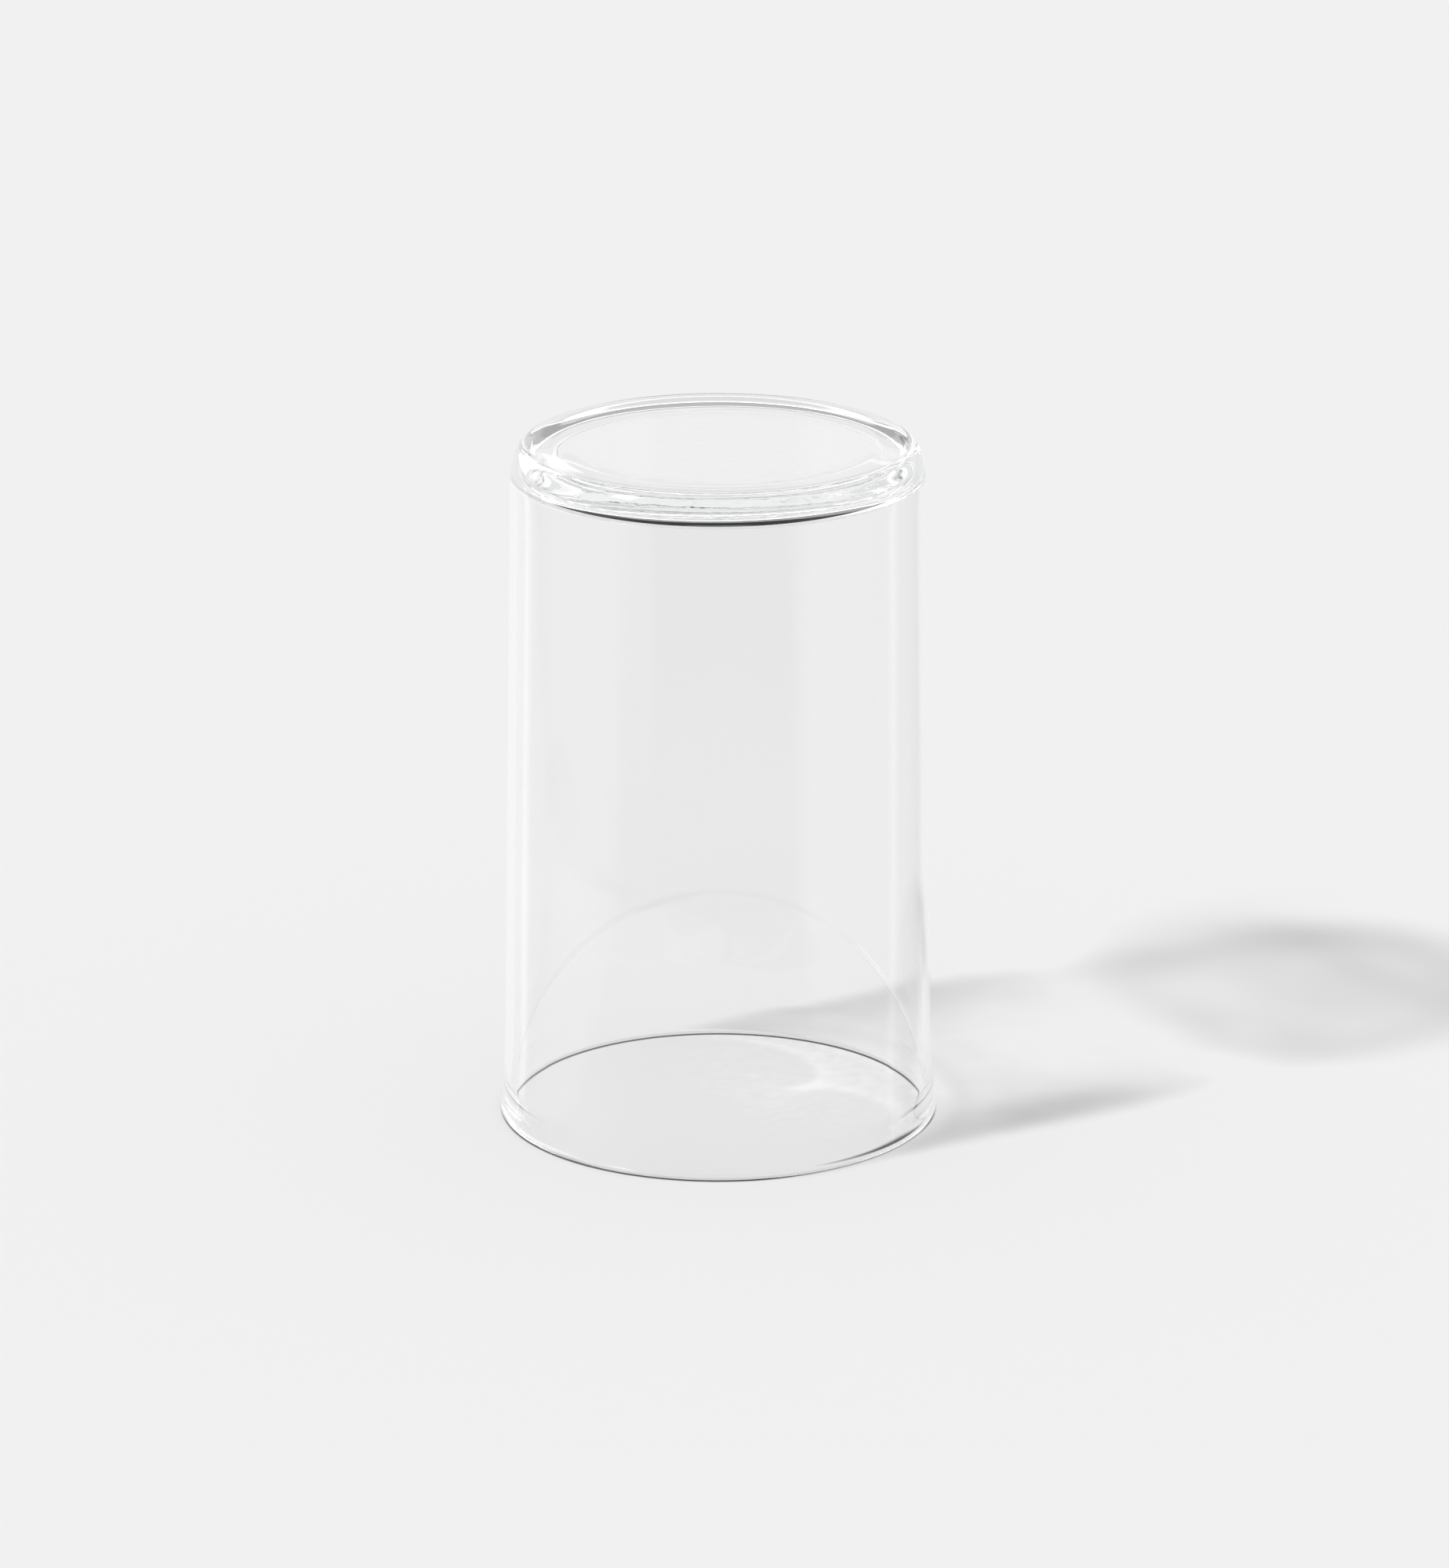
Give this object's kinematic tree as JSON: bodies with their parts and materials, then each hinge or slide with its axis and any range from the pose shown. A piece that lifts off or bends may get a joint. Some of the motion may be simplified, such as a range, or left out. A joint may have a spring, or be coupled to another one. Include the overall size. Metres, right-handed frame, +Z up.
{
  "type": "drinking glass",
  "caption": "Straight, slightly tapered clear drinking glass with a thick hollowed base, a rounded heel and a flared, fire-polished rim, standing upside down on its rim.",
  "frame": {"origin": "centre of the rim plane, the plane that the upturned glass stands on", "axes": "+Z up along the glass's axis, from the rim to the foot; the glass is a body of revolution, so X and Y are free"},
  "size_m": [0.066, 0.066, 0.1038],
  "materials": {
    "clear_glass": "clear, colourless, fire-polished"
  },
  "bodies": {
    "root": {"tumbler": "clear_glass"}
  },
  "joints": []
}
